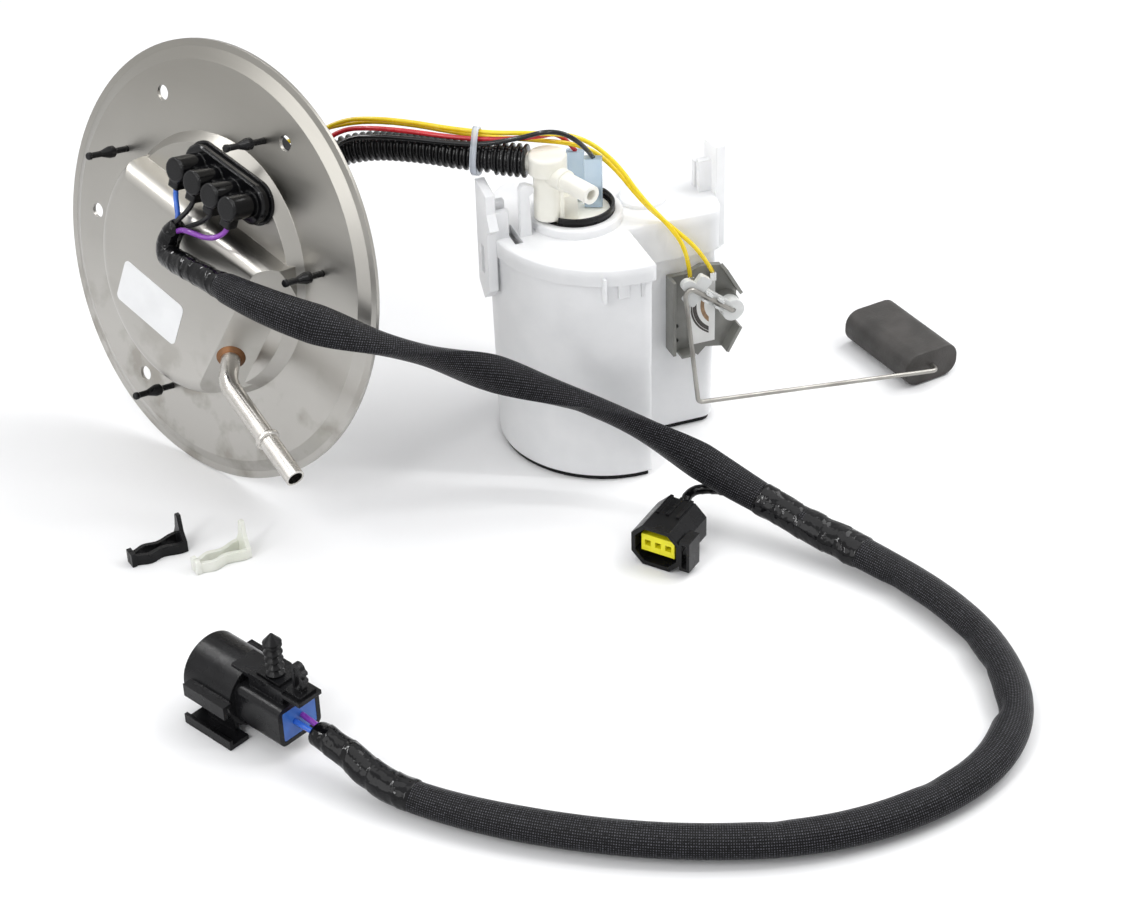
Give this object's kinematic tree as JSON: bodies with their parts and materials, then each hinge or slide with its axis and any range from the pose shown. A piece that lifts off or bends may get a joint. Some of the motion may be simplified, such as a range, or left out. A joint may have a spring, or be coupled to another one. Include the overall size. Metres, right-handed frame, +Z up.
{
  "type": "fuel pump module",
  "caption": "Fuel pump module laid out on a bench: round cover flange, white reservoir with pump and level float, and a long wiring loom with two connectors.",
  "frame": {"origin": "middle of the reservoir's underside, on the bench", "axes": "+Z up; +X along the line of the two guide rails towards the float; -Y is the way the level sender faces"},
  "size_m": [0.376, 0.4116, 0.1796],
  "materials": {
    "flange_steel": "pale zinc-plated steel, satin",
    "tube_steel": "plated steel tube",
    "braze": "copper braze",
    "black_rubber": "matt black rubber",
    "label_white": "bare white label",
    "black_plastic": "black moulded plastic",
    "clear_nylon": "clear nylon",
    "white_acetal": "slightly translucent white plastic",
    "grey_plastic": "dark grey moulded plastic",
    "bracket_grey": "light grey moulded plastic",
    "rotor_white": "pale moulded plastic",
    "natural_plastic": "natural moulded plastic",
    "cream_nylon": "cream moulded nylon",
    "blue_sleeve": "translucent blue terminal sleeve",
    "ceramic": "white ceramic card",
    "track_ink": "printed resistive ink",
    "tin_metal": "tin-plated metal",
    "rod_wire": "bright spring wire",
    "float_foam": "closed-cell black foam",
    "hose_black": "black corrugated nylon hose",
    "loom_sleeve": "black loom sleeve",
    "red_insulation": "red insulation",
    "black_insulation": "black insulation",
    "yellow_insulation": "yellow insulation",
    "blue_insulation": "blue insulation",
    "purple_insulation": "purple insulation",
    "yellow_insert": "yellow moulded insert",
    "blue_insert": "blue rubber insert",
    "can_metal": "zinc-plated steel can",
    "magnet": "ferrite magnet",
    "copper_winding": "copper winding on a steel core",
    "impeller_plastic": "moulded phenolic",
    "carbon": "carbon",
    "mesh": "woven nylon mesh"
  },
  "bodies": {
    "module": {"cover_flange": "flange_steel", "outlet_tube": "tube_steel", "braze_ring": "braze", "flange_seal": "black_rubber", "bulkhead_seal": "black_rubber", "pump_seal_ring": "black_rubber", "fill_valve": "black_rubber", "flange_label": "label_white", "bulkhead_connector": "black_plastic", "hose_cuff": "black_plastic", "reservoir_foot": "black_plastic", "loom_clip_fir": "black_plastic", "loom_clip_loop": "black_plastic", "retainer_clip_black": "black_plastic", "three_way_shell": "black_plastic", "round_plug_shell": "black_plastic", "cable_tie": "clear_nylon", "reservoir_tub": "white_acetal", "reservoir_lid": "white_acetal", "inlet_cover": "grey_plastic", "sender_bracket": "bracket_grey", "retainer_clip_natural": "natural_plastic", "pump_cap": "cream_nylon", "power_terminals": "blue_sleeve", "resistor_card": "ceramic", "resistor_tracks": "track_ink", "sender_terminals": "tin_metal", "three_way_terminals": "tin_metal", "round_plug_terminals": "tin_metal", "bulkhead_pins": "tin_metal", "check_spring": "rod_wire", "feed_hose": "hose_black", "harness_trunk": "loom_sleeve", "branch_trunk": "loom_sleeve", "red_wire": "red_insulation", "black_wire": "black_insulation", "pigtail_black_a": "black_insulation", "pigtail_black_b": "black_insulation", "yellow_wire_a": "yellow_insulation", "yellow_wire_b": "yellow_insulation", "pigtail_blue": "blue_insulation", "pigtail_purple": "purple_insulation", "three_way_insert": "yellow_insert", "round_plug_insert": "blue_insert", "pump_can": "can_metal", "field_magnets": "magnet", "carbon_brushes": "carbon", "inlet_strainer": "mesh"},
    "float_arm": {"sender_rotor": "rotor_white", "wiper_contact": "tin_metal", "float_rod": "rod_wire"},
    "float": {"float": "float_foam"},
    "pump_rotor": {"armature": "copper_winding", "impeller": "impeller_plastic"},
    "check_valve": {"check_poppet": "cream_nylon"}
  },
  "joints": [
    {"name": "float_arm", "type": "hinge", "parent": "module", "child": "float_arm", "pos_m": [0.047, -0.024, 0.0612], "axis": [0, -1, 0], "range_deg": [0, 75]},
    {"name": "float_swivel", "type": "hinge", "parent": "float_arm", "child": "float", "pos_m": [0.1458, -0.03035, 0.0082], "axis": [-0.1685, 0.9857, 0], "continuous": true},
    {"name": "pump_rotor", "type": "hinge", "parent": "module", "child": "pump_rotor", "pos_m": [-0.012, -0.001, 0.06], "axis": [0, 0, 1], "continuous": true},
    {"name": "check_valve", "type": "slide", "parent": "module", "child": "check_valve", "axis": [0, 0, 1], "range_m": [0, 0.0025], "stiffness_N_per_m": 100, "springref_m": -0.004, "deforming": ["check_spring"]}
  ]
}
